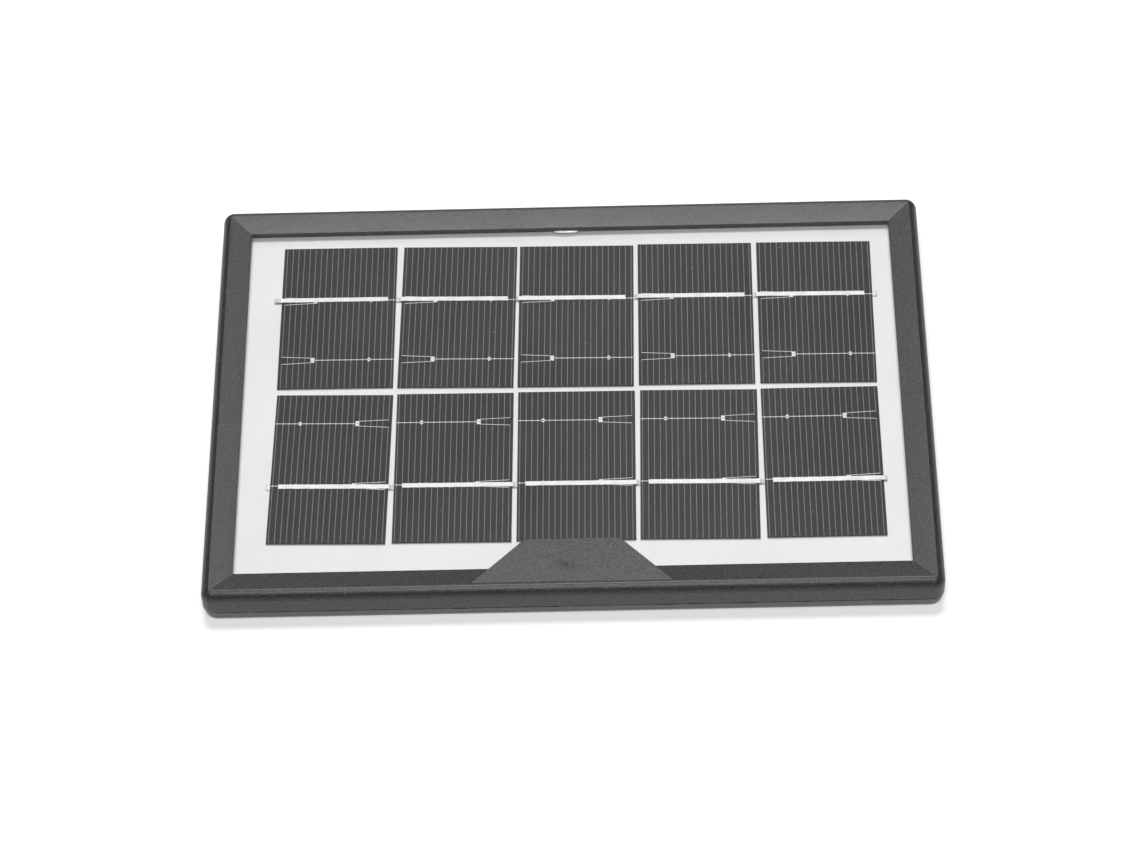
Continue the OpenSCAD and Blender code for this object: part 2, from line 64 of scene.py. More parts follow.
# Table. A broad matt white top that the panel lies on. Its white shows in the panel's gloss,
# and it keeps the panel's shadow.
MM = 0.001
TABLE_SIZE = 60
TABLE_GAP = 0.02 * MM
# How much white is added for the camera, near the panel and from far out to the horizon
NEAR_WHITE = 0.3
FAR_WHITE = 1.0
NEAR_REACH = 0.4
FAR_REACH = 2.5


def deselect():
    bpy.ops.object.select_all(action="DESELECT")


def new_material(name):
    """A new material, with its node tree and its surface shader."""
    material = bpy.data.materials.new(name)
    material.use_nodes = True
    tree = material.node_tree
    return material, tree, tree.nodes["Principled BSDF"]


def add(tree, kind, links=(), **values):
    """Adds a node. links are pairs of a socket and an output or a number for it."""
    node = tree.nodes.new(kind)
    for key, value in values.items():
        setattr(node, key, value)
    for socket, source in links:
        if hasattr(source, "is_output"):
            tree.links.new(source, node.inputs[socket])
        else:
            node.inputs[socket].default_value = source
    return node


deselect()
bpy.ops.mesh.primitive_plane_add(size=TABLE_SIZE, location=(0, 0, -TABLE_GAP))
table = bpy.context.object
table.name = "table"
table_finish, tree, surface = new_material("table_white")
surface.inputs["Base Color"].default_value = (0.92, 0.92, 0.92, 1)
surface.inputs["Roughness"].default_value = 0.9
surface.inputs["Specular IOR Level"].default_value = 0.1
surface.inputs["Emission Color"].default_value = (1, 1, 1, 1)
seen = add(tree, "ShaderNodeLightPath")
place = add(tree, "ShaderNodeTexCoord").outputs["Object"]
distance = add(tree, "ShaderNodeVectorMath", [(0, place)], operation="LENGTH")
fill = add(tree, "ShaderNodeMapRange",
           [("Value", distance.outputs["Value"]), ("From Min", NEAR_REACH),
            ("From Max", FAR_REACH), ("To Min", NEAR_WHITE), ("To Max", FAR_WHITE)])
glow = add(tree, "ShaderNodeMath",
           [(0, seen.outputs["Is Camera Ray"]), (1, fill.outputs["Result"])], operation="MULTIPLY")
tree.links.new(glow.outputs["Value"], surface.inputs["Emission Strength"])
white = add(tree, "ShaderNodeEmission", [("Color", (1, 1, 1, 1))])
in_finish = add(tree, "ShaderNodeMath",
                [(0, seen.outputs["Is Glossy Ray"]), (1, seen.outputs["Is Transmission Ray"])],
                operation="MAXIMUM")
in_gloss = add(tree, "ShaderNodeMixShader",
               [("Fac", in_finish.outputs["Value"]), (1, surface.outputs["BSDF"]),
                (2, white.outputs["Emission"])])
tree.links.new(in_gloss.outputs["Shader"], tree.nodes["Material Output"].inputs["Surface"])
table.data.materials.append(table_finish)


# Lamps and world. One soft lamp a little behind the vertical, a weaker one above the camera,
# a faint one low behind the panel, and a dim even room.
LAMP_DISTANCE = 1.2
LAMP_HEIGHT = 0.3
ROOM_LIGHT = 0.07
ROOM_WHITE = 1


def softbox(name, elevation, width, watts):
    """A soft lamp that faces the panel. The elevation is counted from behind the panel."""
    data = bpy.data.lights.new(name, "AREA")
    data.shape = "RECTANGLE"
    data.size = width
    data.size_y = LAMP_HEIGHT
    data.energy = watts
    lamp = bpy.data.objects.new(name, data)
    turn = math.radians(elevation)
    lamp.location = (0, LAMP_DISTANCE * math.cos(turn), LAMP_DISTANCE * math.sin(turn))
    lamp.rotation_euler = lamp.location.to_track_quat("Z", "Y").to_euler()
    bpy.context.scene.collection.objects.link(lamp)


softbox("overhead_softbox", 75, 0.55, 8.4)
softbox("front_softbox", 118, 0.6, 6.0)
softbox("low_softbox", 45, 0.5, 1.0)

world = bpy.data.worlds.new("room")
bpy.context.scene.world = world
world.use_nodes = True
tree = world.node_tree
background = tree.nodes["Background"]
background.inputs["Color"].default_value = (1, 1, 1, 1)
seen = add(tree, "ShaderNodeLightPath")
level = add(tree, "ShaderNodeMapRange",
            [("Value", seen.outputs["Is Camera Ray"]), ("To Min", ROOM_LIGHT),
             ("To Max", ROOM_WHITE)])
tree.links.new(level.outputs["Result"], background.inputs["Strength"])


# Rear cover. A shallow black tray that closes the case from behind. It is moulded smoother
# and a little greyer than the frame, and its rim shows as a lip below the seam.
GRAIN_HEIGHT = 0.2 * MM
PATCHES_PER_METRE = 55.0
NICKS_PER_METRE = 700.0


def group(name, inputs, outputs):
    """A new shader node group, with its input and output nodes."""
    made = bpy.data.node_groups.new(name, "ShaderNodeTree")
    for title, kind, value in inputs:
        socket = made.interface.new_socket(name=title, in_out="INPUT", socket_type=kind)
        socket.default_value = value
    for title, kind in outputs:
        made.interface.new_socket(name=title, in_out="OUTPUT", socket_type=kind)
    return made, add(made, "NodeGroupInput"), add(made, "NodeGroupOutput")


grain, start, end = group(
    "moulded_grain",
    [("Grain per metre", "NodeSocketFloat", 2300), ("Depth", "NodeSocketFloat", 0.3),
     ("Speckle", "NodeSocketFloat", 0.15), ("Scuffs", "NodeSocketFloat", 0.5),
     ("Tint", "NodeSocketColor", (0.04, 0.04, 0.04, 1)), ("Roughness", "NodeSocketFloat", 0.4)],
    [("Colour", "NodeSocketColor"), ("Roughness", "NodeSocketFloat"),
     ("Normal", "NodeSocketVector")])
place = add(grain, "ShaderNodeTexCoord").outputs["Object"]
pebbles = add(grain, "ShaderNodeTexNoise",
              [("Vector", place), ("Scale", start.outputs["Grain per metre"]), ("Detail", 2.0),
               ("Roughness", 0.65)])
flow = add(grain, "ShaderNodeTexNoise",
           [("Vector", place), ("Scale", PATCHES_PER_METRE), ("Detail", 4.0),
            ("Roughness", 0.6)])
bump = add(grain, "ShaderNodeBump",
           [("Height", pebbles.outputs["Fac"]), ("Strength", start.outputs["Depth"]),
            ("Distance", GRAIN_HEIGHT)])
centred = add(grain, "ShaderNodeMath",
              [(0, pebbles.outputs["Fac"]), (1, 0.5)], operation="SUBTRACT")
speckle = add(grain, "ShaderNodeMath",
              [(0, centred.outputs["Value"]), (1, start.outputs["Speckle"]), (2, 1.0)],
              operation="MULTIPLY_ADD")
speckle = add(grain, "ShaderNodeMath",
              [(0, speckle.outputs["Value"]), (1, 0.1)], operation="MAXIMUM")
patch = add(grain, "ShaderNodeMapRange",
            [("Value", flow.outputs["Fac"]), ("From Min", 0.3), ("From Max", 0.7),
             ("To Min", 0.96), ("To Max", 1.04)])
along = add(grain, "ShaderNodeMapping", [("Vector", place), ("Rotation", (0.4, 0.7, 0.9)),
                                         ("Scale", (2.5, 0.4, 1.0))])
nicks = add(grain, "ShaderNodeTexNoise",
            [("Vector", along.outputs["Vector"]), ("Scale", NICKS_PER_METRE), ("Detail", 1.0)])
nick = add(grain, "ShaderNodeMapRange",
           [("Value", nicks.outputs["Fac"]), ("From Min", 0.77), ("From Max", 0.82),
            ("To Min", 0.0), ("To Max", 1.0)])
scuff = add(grain, "ShaderNodeMath",
            [(0, nick.outputs["Result"]), (1, start.outputs["Scuffs"]), (2, 1.0)],
            operation="MULTIPLY_ADD")
shade = add(grain, "ShaderNodeMath",
            [(0, speckle.outputs["Value"]), (1, patch.outputs["Result"])], operation="MULTIPLY")
shade = add(grain, "ShaderNodeMath",
            [(0, shade.outputs["Value"]), (1, scuff.outputs["Value"])], operation="MULTIPLY")
colour = add(grain, "ShaderNodeVectorMath",
             [(0, start.outputs["Tint"]), ("Scale", shade.outputs["Value"])], operation="SCALE")
rough = add(grain, "ShaderNodeMath",
            [(0, start.outputs["Roughness"]), (1, patch.outputs["Result"])], operation="MULTIPLY")
grain.links.new(colour.outputs["Vector"], end.inputs["Colour"])
grain.links.new(rough.outputs["Value"], end.inputs["Roughness"])
grain.links.new(bump.outputs["Normal"], end.inputs["Normal"])


def moulded(name, tint, roughness, per_metre=2300, depth=0.3, speckle=0.15, scuffs=0.5):
    """A moulded finish: plastic, rubber or set glue."""
    material, tree, surface = new_material(name)
    texture = add(tree, "ShaderNodeGroup")
    texture.node_tree = grain
    for title, value in (("Grain per metre", per_metre), ("Depth", depth), ("Speckle", speckle),
                         ("Scuffs", scuffs), ("Tint", (*tint, 1)), ("Roughness", roughness)):
        texture.inputs[title].default_value = value
    tree.links.new(texture.outputs["Colour"], surface.inputs["Base Color"])
    tree.links.new(texture.outputs["Roughness"], surface.inputs["Roughness"])
    tree.links.new(texture.outputs["Normal"], surface.inputs["Normal"])
    surface.inputs["IOR"].default_value = 1.52
    return material


def parts(material):
    """A finish's node tree, its surface shader and the group that colours it."""
    tree = material.node_tree
    texture = next(node for node in tree.nodes if node.bl_idname == "ShaderNodeGroup")
    return tree, tree.nodes["Principled BSDF"], texture


def repaint(material, slot, *names):
    """Gives CAD nodes a finish of their own."""
    for name in names:
        node = nodes[name]
        node.data.materials.clear()
        node.data.materials.append(material)


cover_plastic = moulded("black_cover_plastic", (0.105, 0.104, 0.107), 0.36, 2600, 0.12, 1.0, 0.4)
repaint(cover_plastic, "cover_plastic", "rear_cover")

# Mounting insert. A blind brass insert with a tapped hole for a bracket's screw. It is turned
# from bar and pressed into the boss in the middle of the cover.
tint_group, start, end = group(
    "cloudy_tint",
    [("Clouds per metre", "NodeSocketFloat", 100), ("Fineness", "NodeSocketFloat", 0.6),
     ("Low", "NodeSocketColor", (0, 0, 0, 1)), ("High", "NodeSocketColor", (1, 1, 1, 1))],
    [("Colour", "NodeSocketColor"), ("Height", "NodeSocketFloat")])
place = add(tint_group, "ShaderNodeTexCoord").outputs["Object"]
cloud = add(tint_group, "ShaderNodeTexNoise",
            [("Vector", place), ("Scale", start.outputs["Clouds per metre"]), ("Detail", 5.0),
             ("Roughness", start.outputs["Fineness"])])
stretch = add(tint_group, "ShaderNodeMapRange",
              [("Value", cloud.outputs["Fac"]), ("From Min", 0.3), ("From Max", 0.7),
               ("To Min", 0.0), ("To Max", 1.0)])
blend = add(tint_group, "ShaderNodeMix",
            [("Factor", stretch.outputs["Result"])], data_type="RGBA")
tint_group.links.new(start.outputs["Low"], blend.inputs["A"])
tint_group.links.new(start.outputs["High"], blend.inputs["B"])
tint_group.links.new(blend.outputs["Result"], end.inputs["Colour"])
tint_group.links.new(stretch.outputs["Result"], end.inputs["Height"])


def cloudy(name, low, high, per_metre, roughness, metallic=0.0, fineness=0.6, depth=0.0,
           height=0.2 * MM):
    """A finish whose colour drifts between two tints, with a bump where it has a depth."""
    material, tree, surface = new_material(name)
    surface.inputs["Roughness"].default_value = roughness
    surface.inputs["Metallic"].default_value = metallic
    texture = add(tree, "ShaderNodeGroup")
    texture.node_tree = tint_group
    texture.inputs["Clouds per metre"].default_value = per_metre
    texture.inputs["Fineness"].default_value = fineness
    texture.inputs["Low"].default_value = (*low, 1)
    texture.inputs["High"].default_value = (*high, 1)
    tree.links.new(texture.outputs["Colour"], surface.inputs["Base Color"])
    if depth:
        bump = add(tree, "ShaderNodeBump",
                   [("Height", texture.outputs["Height"]), ("Strength", depth),
                    ("Distance", height)])
        tree.links.new(bump.outputs["Normal"], surface.inputs["Normal"])
    return material


brass = cloudy("turned_brass", (0.62, 0.45, 0.2), (0.8, 0.62, 0.32), 1500, 0.3, metallic=1,
               depth=0.1)
repaint(brass, "brass", "mounting_insert")

# Cable grommet. A soft moulded rubber sleeve with a collar, held in the hole for the cable
# where the frame and the cover meet.
rubber = moulded("grommet_rubber", (0.022, 0.022, 0.022), 0.6, 2500, 0.2)
repaint(rubber, "grommet_rubber", "cable_grommet")

# Backing board. A stiff white board that carries the laminate and shows round the cells.
# Four slots are punched through it for the ends of the ribbons.
white_board = cloudy("white_board", (0.775, 0.775, 0.78), (0.83, 0.83, 0.835), 40, 0.4,
                     depth=0.12, height=0.4 * MM)
_, surface, _ = parts(white_board)
surface.inputs["Specular IOR Level"].default_value = 0.3
repaint(white_board, "white_board", "backing_board")

# Back wiring. Wide tinned copper strips lie on the board's back and a moulded blocking diode
# joins two of them. All are soldered by hand.
copper = cloudy("tinned_copper", (0.58, 0.56, 0.55), (0.8, 0.79, 0.78), 300, 0.35,
                metallic=0.8, depth=0.3)
repaint(copper, "copper_strip", "string_link", "output_strip_negative", "output_strip_positive",
        "cable_strip_positive")
diode_body = moulded("diode_body", (0.02, 0.02, 0.02), 0.4, 3000, 0.1)
repaint(diode_body, "diode_body", "blocking_diode")

# Cells. Ten pieces of dark etched silicon, cut from larger wafers and laid by hand in two
# strings of five. A few specks of dust were caught over them.
DUST_PER_METRE = 230.0
DUST_SHARE = 0.26
silicon = cloudy("etched_silicon", (0.019, 0.019, 0.02), (0.027, 0.027, 0.028), 60, 0.3,
                 fineness=0.75)
tree, surface, texture = parts(silicon)
place = add(tree, "ShaderNodeTexCoord").outputs["Object"]
dust = add(tree, "ShaderNodeTexVoronoi", [("Vector", place), ("Scale", DUST_PER_METRE)])
near = add(tree, "ShaderNodeMapRange",
           [("Value", dust.outputs["Distance"]), ("From Min", 0.045), ("From Max", 0.015),
            ("To Min", 0.0), ("To Max", 1.0)])
few = add(tree, "ShaderNodeSeparateColor", [("Color", dust.outputs["Color"])])
chosen = add(tree, "ShaderNodeMath",
             [(0, few.outputs["Red"]), (1, 1 - DUST_SHARE)], operation="GREATER_THAN")
speck = add(tree, "ShaderNodeMath",
            [(0, near.outputs["Result"]), (1, chosen.outputs["Value"])], operation="MULTIPLY")
dusty = add(tree, "ShaderNodeMix", [("Factor", speck.outputs["Value"])], data_type="RGBA")
tree.links.new(texture.outputs["Colour"], dusty.inputs["A"])
dusty.inputs["B"].default_value = (0.32, 0.32, 0.32, 1)
tree.links.new(dusty.outputs["Result"], surface.inputs["Base Color"])
surface.inputs["Specular IOR Level"].default_value = 0.29
cells = [f"{row}{column}" for row in "ab" for column in range(1, 6)]
repaint(silicon, "silicon", *[f"cell_{cell}" for cell in cells])


# Printed fingers. Twenty fine silver lines that are fired on to each cell. The first one
# stops at the arms of the two forks.
CELL_LENGTH = 27.7 * MM
CELL_WIDTH = 43.2 * MM
FINGERS = 20
FINGER_PITCH = 1.39 * MM
FINGER_MARGIN = 0.75 * MM
FINGER_WIDTH = 0.12 * MM
# How far the fingers stay under the top of the busbars
FINGER_DROP = 0.01 * MM
# How far the print stays from the cell's edges
PRINT_MARGIN = 0.12 * MM
RIBBON_BAR_Y = CELL_WIDTH / 2 - 16.5 * MM
BARE_BAR_Y = CELL_WIDTH / 2 - 34.7 * MM
FORK_SPREAD = 2.3 * MM
print_low, print_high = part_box("cell_grid_a1")
cell_top = print_low.z
print_top = print_high.z
left = -CELL_LENGTH / 2
end_y = CELL_WIDTH / 2 - PRINT_MARGIN


def pick(piece):
    """Makes a piece the active one and the only one selected."""
    deselect()
    bpy.context.view_layer.objects.active = piece
    piece.select_set(True)


def settle():
    """Puts the active piece's place, turn and scale into its mesh."""
    bpy.ops.object.transform_apply(location=True, rotation=True, scale=True)


def block(name, low, high):
    """A box between two corners, as the start of a piece."""
    deselect()
    low, high = Vector(low), Vector(high)
    bpy.ops.mesh.primitive_cube_add(size=1, location=(low + high) / 2, scale=high - low)
    piece = bpy.context.object
    piece.name = name
    settle()
    return piece


def edit(piece, mode, chosen):
    """Opens a piece in edit mode with the parts selected that chosen(part) picks."""
    pick(piece)
    bpy.ops.object.mode_set(mode="EDIT")
    bpy.ops.mesh.select_mode(type=mode)
    bpy.ops.mesh.select_all(action="DESELECT")
    mesh = bmesh.from_edit_mesh(piece.data)
    for part in {"VERT": mesh.verts, "EDGE": mesh.edges, "FACE": mesh.faces}[mode]:
        part.select = bool(chosen(part))
    mesh.select_flush_mode()
    bmesh.update_edit_mesh(piece.data)


def leave_edit():
    bpy.ops.object.mode_set(mode="OBJECT")


def join(pieces):
    """Makes one piece of several."""
    deselect()
    for piece in pieces:
        piece.select_set(True)
    bpy.context.view_layer.objects.active = pieces[0]
    bpy.ops.object.join()
    return pieces[0]


def repeat(piece, count, step):
    """Repeats a piece's shape in its own mesh."""
    pick(piece)
    row = piece.modifiers.new("row", "ARRAY")
    row.count = count
    row.use_relative_offset = False
    row.use_constant_offset = True
    row.constant_offset_displace = step
    bpy.ops.object.modifier_apply(modifier=row.name)
    return piece


def finish(piece, slot, materials, *replaced):
    """Gives a finished piece its materials, hangs it under the root and hides the CAD nodes it
    stands for. Its slot is not used.
    """
    while len(piece.data.materials) < len(materials):
        piece.data.materials.append(None)
    for index, material in enumerate(materials):
        piece.data.materials[index] = material
    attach(piece, "root")
    if replaced:
        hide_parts(*replaced)


def seat(cell):
    """A cell's middle and the way its own +X points. String b is laid the other way round."""
    low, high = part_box(f"cell_{cell}")
    corners = [vertex.co for vertex in nodes[f"cell_{cell}"].data.vertices]
    upper_left = max(corners, key=lambda corner: corner.y - corner.x)
    upper_right = max(corners, key=lambda corner: corner.y + corner.x)
    turn = math.atan2(upper_right.y - upper_left.y, upper_right.x - upper_left.x)
    return (low + high) / 2, turn + (math.pi if cell[0] == "b" else 0)


def lay(pattern, name, cell):
    """Copies a pattern that is drawn round a cell's middle, and lays the copy on that cell."""
    pick(pattern)
    bpy.ops.object.duplicate()
    piece = bpy.context.object
    piece.name = name
    middle, turn = seat(cell)
    piece.location = (middle.x, middle.y, 0)
    piece.rotation_euler = (0, 0, turn)
    settle()
    return piece


def line(from_x, from_y, to_x, to_y, lowered=0.0):
    """One printed bar between two corners."""
    return block("line", (from_x, from_y, cell_top), (to_x, to_y, print_top - lowered))


def finger(number, from_y, to_y):
    """A finger, or a length of one. The first is number 0."""
    middle = left + FINGER_MARGIN + number * FINGER_PITCH
    return line(middle - FINGER_WIDTH / 2, from_y, middle + FINGER_WIDTH / 2, to_y, FINGER_DROP)


# The first finger is left out between the two arms of each fork
half_fork = FORK_SPREAD / 2
fingers = join([
    repeat(finger(1, -end_y, end_y), FINGERS - 1, (FINGER_PITCH, 0, 0)),
    finger(0, -end_y, BARE_BAR_Y - half_fork),
    finger(0, BARE_BAR_Y + half_fork, RIBBON_BAR_Y - half_fork),
    finger(0, RIBBON_BAR_Y + half_fork, end_y),
])
finger_silver = cloudy("finger_silver", (0.19, 0.19, 0.19), (0.29, 0.29, 0.29), 700, 0.55)
for cell in cells:
    finish(lay(fingers, f"fingers_{cell}", cell), "silver_print", [finger_silver],
           f"cell_grid_{cell}")
bpy.data.objects.remove(fingers)

# Printed busbars. Two thicker silver lines cross each cell's fingers. Each has a fork and a
# solder pad near one end, and a small diamond pad farther on.
BUSBAR_WIDTH = 0.14 * MM
ARM_WIDTH = 0.11 * MM
FORK_PAD_X = left + 7.7 * MM
PAD_LENGTH = 0.9 * MM
PAD_WIDTH = 1.5 * MM
PAD_CORNER = 0.15 * MM
DIAMOND_X = left + 21.7 * MM
DIAMOND = 0.54 * MM
# The diamond's sides are drawn in a little, and it is taller than it is wide
DIAMOND_WAIST = 0.9
DIAMOND_STRETCH = (0.9, 1.15, 1)
# The first finger that the bar crosses with a dot, and the dot's half length and half width
FIRST_DOT = 6
DOT = 0.12 * MM
DOT_SIDE = 0.2 * MM
# Places closer than this are taken as the same
SAME = 1e-6
first_x = left + FINGER_MARGIN


def upright(edge):
    """Picks an edge that stands upright."""
    a, b = (vertex.co for vertex in edge.verts)
    return abs(a.x - b.x) < SAME and abs(a.y - b.y) < SAME


def round_corners(piece, radius, segments):
    """Rounds a box's four upright edges."""
    edit(piece, "EDGE", upright)
    bpy.ops.mesh.bevel(offset=radius, segments=segments, affect="EDGES")
    leave_edit()


def fork_arm(bar_y, side):
    """An arm from the fork pad's corner out to the first finger."""
    tip_y = bar_y + side * (PAD_WIDTH - ARM_WIDTH) / 2
    arm = line(first_x - FINGER_WIDTH / 2, tip_y - ARM_WIDTH / 2,
               FORK_PAD_X + PAD_LENGTH / 2, tip_y + ARM_WIDTH / 2)
    edit(arm, "VERT", lambda corner: corner.co.x < FORK_PAD_X)
    bpy.ops.transform.translate(value=(0, side * (FORK_SPREAD - PAD_WIDTH) / 2, 0))
    leave_edit()
    return arm


def diamond(bar_y):
    """A small pad with four corners, drawn in between them."""
    deselect()
    bpy.ops.mesh.primitive_cylinder_add(vertices=8, radius=DIAMOND, depth=print_top - cell_top,
                                        location=(DIAMOND_X, bar_y, (print_top + cell_top) / 2))
    piece = bpy.context.object
    settle()

    def between_corners(vertex):
        aside, along = abs(vertex.co.x - DIAMOND_X), abs(vertex.co.y - bar_y)
        return abs(aside - along) < 10 * SAME

    middle = (DIAMOND_X, bar_y, cell_top)
    edit(piece, "VERT", between_corners)
    bpy.ops.transform.resize(value=(DIAMOND_WAIST, DIAMOND_WAIST, 1), center_override=middle)
    bpy.ops.mesh.select_all(action="SELECT")
    bpy.ops.transform.resize(value=DIAMOND_STRETCH, center_override=middle)
    leave_edit()
    return piece


def busbar(bar_y):
    """One busbar with its fork, its pads and the small dots where it crosses the fingers."""
    bar = line(FORK_PAD_X, bar_y - BUSBAR_WIDTH / 2, -left - PRINT_MARGIN,
               bar_y + BUSBAR_WIDTH / 2)
    dot_x = first_x + FIRST_DOT * FINGER_PITCH
    dots = repeat(line(dot_x - DOT, bar_y - DOT_SIDE, dot_x + DOT, bar_y + DOT_SIDE),
                  FINGERS - FIRST_DOT, (FINGER_PITCH, 0, 0))
    pad = line(FORK_PAD_X, bar_y - PAD_WIDTH / 2, FORK_PAD_X + PAD_LENGTH, bar_y + PAD_WIDTH / 2)
    round_corners(pad, PAD_CORNER, 3)
    return [bar, dots, pad, diamond(bar_y), fork_arm(bar_y, 1), fork_arm(bar_y, -1)]


busbars = join(busbar(RIBBON_BAR_Y) + busbar(BARE_BAR_Y))
pad_silver = cloudy("pad_silver", (0.78, 0.745, 0.73), (0.95, 0.92, 0.91), 900, 0.5)
for cell in cells:
    finish(lay(busbars, f"busbars_{cell}", cell), "silver_print", [pad_silver])
bpy.data.objects.remove(busbars)

# Ribbons. Flat tinned copper, soldered by hand over one busbar. Each runs from a cell's front
# down through the gap to the back of the next cell, or ends in a tail that turns through the board.
RIBBON_WIDTH = 1.2 * MM
RIBBON_THICKNESS = 0.12 * MM
RIBBON_Y = RIBBON_BAR_Y + 0.25 * MM
# A ribbon is a row of columns of faces. It bends in the gap, half a column before the cell.
COLUMN = 0.456 * MM
BEND_X = left - COLUMN / 2
FRONT_COLUMNS = 57
UNDER_COLUMNS = 42
BACK_TAIL_COLUMNS = 48
CRINKLE = 0.03 * MM
CRINKLE_ANGLE = math.radians(35)
# How far each string's ribbon shows past its front end and past its back end
FRONT_TAIL = {"a": 1.7 * MM, "b": 0.7 * MM}
FRONT_TAIL_COLUMNS = {"a": 3, "b": 1}
BACK_TAIL = {"a": 1 * MM, "b": 0.8 * MM}
CELL_GAP = 1.14 * MM
BUBBLE_MARGIN = 0.22 * MM
BUBBLE_CORNER = 0.2 * MM
# How high the film's bubbles reach over the board
BUBBLE_FOOT = 0.02 * MM
BUBBLE_HEIGHT = 0.15 * MM
# What lies nearer than this to a column's edge is taken as on it
NEAR = 0.1 * MM
under_low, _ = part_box("tab_ribbon_a2")
board_low, board_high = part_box("backing_board")
back_z = under_low.z + RIBBON_THICKNESS / 2
front_z = print_top + RIBBON_THICKNESS / 2


def strip(name, from_column, to_column, z, seed, crinkle):
    """A flat ribbon that runs a whole number of columns each way from the bend."""
    deselect()
    columns = to_column - from_column
    bpy.ops.mesh.primitive_grid_add(x_subdivisions=columns, y_subdivisions=4, size=1)
    piece = bpy.context.object
    piece.name = name
    piece.scale = (columns * COLUMN, RIBBON_WIDTH, 1)
    piece.location = (BEND_X + (to_column + from_column) / 2 * COLUMN, RIBBON_Y, z)
    settle()
    edit(piece, "VERT", lambda corner: corner.co.x > left)
    bpy.ops.transform.vertex_random(offset=crinkle, uniform=0.4, normal=0.8, seed=seed)
    bpy.ops.mesh.select_all(action="DESELECT")
    leave_edit()
    return piece


def turn_down(piece, end_x, drop):
    """Bends the end of a ribbon down by a new row of faces."""
    edit(piece, "EDGE", lambda edge: all(abs(end.co.x - end_x) < NEAR for end in edge.verts))
    bpy.ops.mesh.extrude_region_move(TRANSFORM_OT_translate={"value": (0, 0, -drop)})
    leave_edit()


def step_down(piece, limit_x, drop):
    """Lowers what lies beyond a limit towards -X."""
    edit(piece, "VERT", lambda corner: corner.co.x < limit_x - NEAR)
    bpy.ops.transform.translate(value=(0, 0, -drop))
    leave_edit()


def thicken(piece):
    """Gives a flat ribbon its thickness and shades its crinkles smooth."""
    pick(piece)
    body = piece.modifiers.new("body", "SOLIDIFY")
    body.thickness = RIBBON_THICKNESS
    body.offset = 0
    bpy.ops.object.modifier_apply(modifier=body.name)
    bpy.ops.object.shade_smooth_by_angle(angle=CRINKLE_ANGLE)


def film_bubble(from_x, to_x):
    """The film's low bubble round a bare length of ribbon."""
    margin = Vector((BUBBLE_MARGIN, RIBBON_WIDTH / 2 + BUBBLE_MARGIN, 0))
    bubble = block("bubble", Vector((from_x, RIBBON_Y, board_high.z + BUBBLE_FOOT)) - margin,
                   Vector((to_x, RIBBON_Y, board_high.z + BUBBLE_HEIGHT)) + margin)
    round_corners(bubble, BUBBLE_CORNER, 3)
    return bubble


tinned = cloudy("tinned_ribbon", (0.74, 0.73, 0.74), (0.92, 0.92, 0.92), 450, 0.38,
                depth=0.3, height=0.3 * MM)
# A darker copy of the tin, painted shade for the lengths that run down off the cells' fronts
tin_painted_shade = cloudy("tin_painted_shade", (0.55, 0.55, 0.56), (0.76, 0.76, 0.76), 900, 0.45,
                  depth=0.35, height=0.3 * MM)
# The bubbles are a grey slab: partly the film's real bubble, partly painted shade round the
# ribbon's bare lengths
bubble_painted_shade = cloudy("film_bubble", (0.4, 0.4, 0.41), (0.55, 0.55, 0.56), 500, 0.4)
for row in "ab":
    for number in range(1, 7):
        ahead = number == (1 if row == "a" else 6)
        behind = number == (6 if row == "a" else 1)
        seed = number + (0 if row == "a" else 6)
        if behind:
            ribbon = strip("tail", -BACK_TAIL_COLUMNS, 0, back_z, seed, 0)
            turn_down(ribbon, BEND_X, back_z - board_low.z)
            pick(ribbon)
            ribbon.location.x = -left + BACK_TAIL[row] - RIBBON_THICKNESS / 2 - BEND_X
            settle()
        elif ahead:
            columns = FRONT_TAIL_COLUMNS[row]
            ribbon = strip("lead", -columns, FRONT_COLUMNS, front_z, seed, CRINKLE)
            turn_down(ribbon, BEND_X - columns * COLUMN, front_z - board_low.z)
        else:
            ribbon = strip("between", -UNDER_COLUMNS, FRONT_COLUMNS, front_z, seed, CRINKLE)
            step_down(ribbon, BEND_X, front_z - back_z)
        thicken(ribbon)
        # What isn't on a cell's front gets a darker, rougher copy of the tin, a painted shade where
        # the ribbon runs down off the cell
        ribbon.data.materials.append(tinned)
        ribbon.data.materials.append(tin_painted_shade)
        edit(ribbon, "FACE", lambda face: face.calc_center_median().x < left - NEAR / 2)
        ribbon.active_material_index = 1
        bpy.ops.object.material_slot_assign()
        leave_edit()
        cell = row + str(min(max(number if row == "a" else number - 1, 1), 5))
        if behind:
            bubble = film_bubble(-left, -left + BACK_TAIL[row])
        else:
            bubble = film_bubble(left - (FRONT_TAIL[row] if ahead else CELL_GAP), left)
        finish(lay(bubble, f"film_bubble_{row}{number}", cell), "clear_film", [bubble_painted_shade])
        bpy.data.objects.remove(bubble)
        finish(lay(ribbon, f"ribbon_{row}{number}", cell), "tinned_ribbon", [tinned, tin_painted_shade],
               f"tab_ribbon_{row}{number}")
        bpy.data.objects.remove(ribbon)

# Clear laminate. A thin clear cover sheet, with clear film under it that was melted round the
# cells in the press, so that they make one slab on the board.
SHEET_CORNER = 0.6 * MM
LAMINATE_GAP = 0.02 * MM
sheet_low, sheet_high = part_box("cover_sheet")
clear = cloudy("clear_film", (0.86, 0.88, 0.9), (0.95, 0.96, 0.97), 35, 0.1,
               depth=0.15, height=0.4 * MM)
tree, surface, texture = parts(clear)
haze = add(tree, "ShaderNodeMapRange",
           [("Value", texture.outputs["Height"]), ("To Min", 0.005), ("To Max", 0.013)])
tree.links.new(haze.outputs["Result"], surface.inputs["Alpha"])
laminate = block("clear_laminate", (sheet_low.x, sheet_low.y, board_high.z + LAMINATE_GAP),
                 sheet_high)
round_corners(laminate, SHEET_CORNER, 4)
finish(laminate, "clear_film", [clear], "cover_sheet", "front_encapsulant", "rear_encapsulant")
